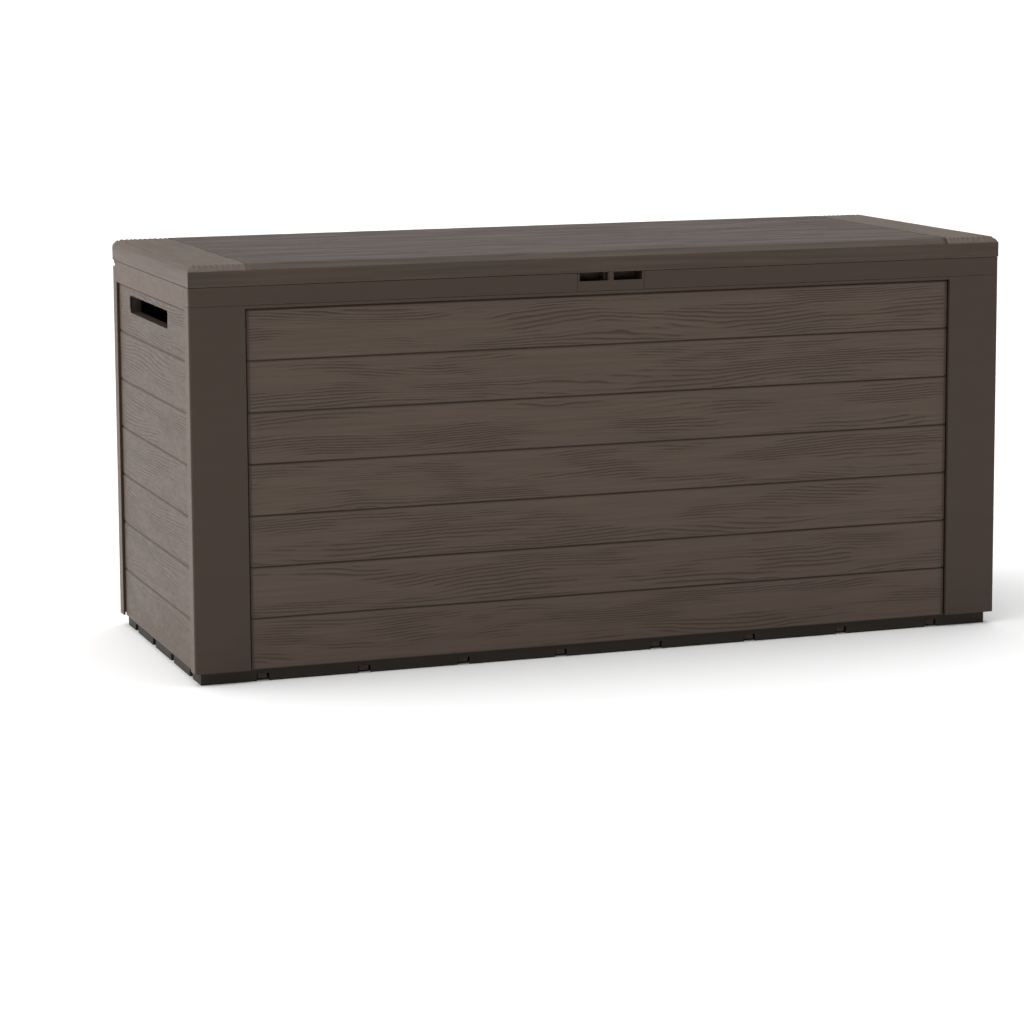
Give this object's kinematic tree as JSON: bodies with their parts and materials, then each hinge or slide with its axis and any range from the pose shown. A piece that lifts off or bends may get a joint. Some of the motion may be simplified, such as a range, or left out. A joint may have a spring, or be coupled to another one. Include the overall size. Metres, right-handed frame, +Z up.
{
  "type": "deck storage box",
  "caption": "Long garden storage box of moulded wood-look plastic panels with a hinged lid, end hand-holds and a padlock eye.",
  "frame": {"origin": "on the ground, under the middle of the box", "axes": "+X along the length, towards the right end seen from the front; +Y to the rear; +Z up"},
  "size_m": [1.16, 0.44, 0.55],
  "materials": {
    "panel_plastic": "moulded wood grain, satin",
    "lid_plastic": "moulded wood grain, satin",
    "floor_plastic": "plain moulded, matt",
    "pin_plastic": "plain moulded, satin"
  },
  "bodies": {
    "base": {"floor_panel": "floor_plastic", "front_panel": "panel_plastic", "front_rail_left": "panel_plastic", "front_rail_right": "panel_plastic", "latch_pocket": "panel_plastic", "rear_panel": "panel_plastic", "left_end_panel": "panel_plastic", "right_end_panel": "panel_plastic", "hinge_pin_left_inner": "pin_plastic", "hinge_pin_left_outer": "pin_plastic", "hinge_pin_right_inner": "pin_plastic", "hinge_pin_right_outer": "pin_plastic", "corner_peg_left_front_low": "pin_plastic", "corner_peg_left_front_middle": "pin_plastic", "corner_peg_left_front_high": "pin_plastic", "corner_peg_left_rear_low": "pin_plastic", "corner_peg_left_rear_middle": "pin_plastic", "corner_peg_left_rear_high": "pin_plastic", "corner_peg_right_front_low": "pin_plastic", "corner_peg_right_front_middle": "pin_plastic", "corner_peg_right_front_high": "pin_plastic", "corner_peg_right_rear_low": "pin_plastic", "corner_peg_right_rear_middle": "pin_plastic", "corner_peg_right_rear_high": "pin_plastic"},
    "lid": {"lid": "lid_plastic", "hasp_plate": "lid_plastic"}
  },
  "joints": [
    {"name": "lid_hinge", "type": "hinge", "parent": "base", "child": "lid", "pos_m": [0, 0.2138, 0.5215], "axis": [-1, 0, 0], "range_deg": [0, 100]}
  ]
}
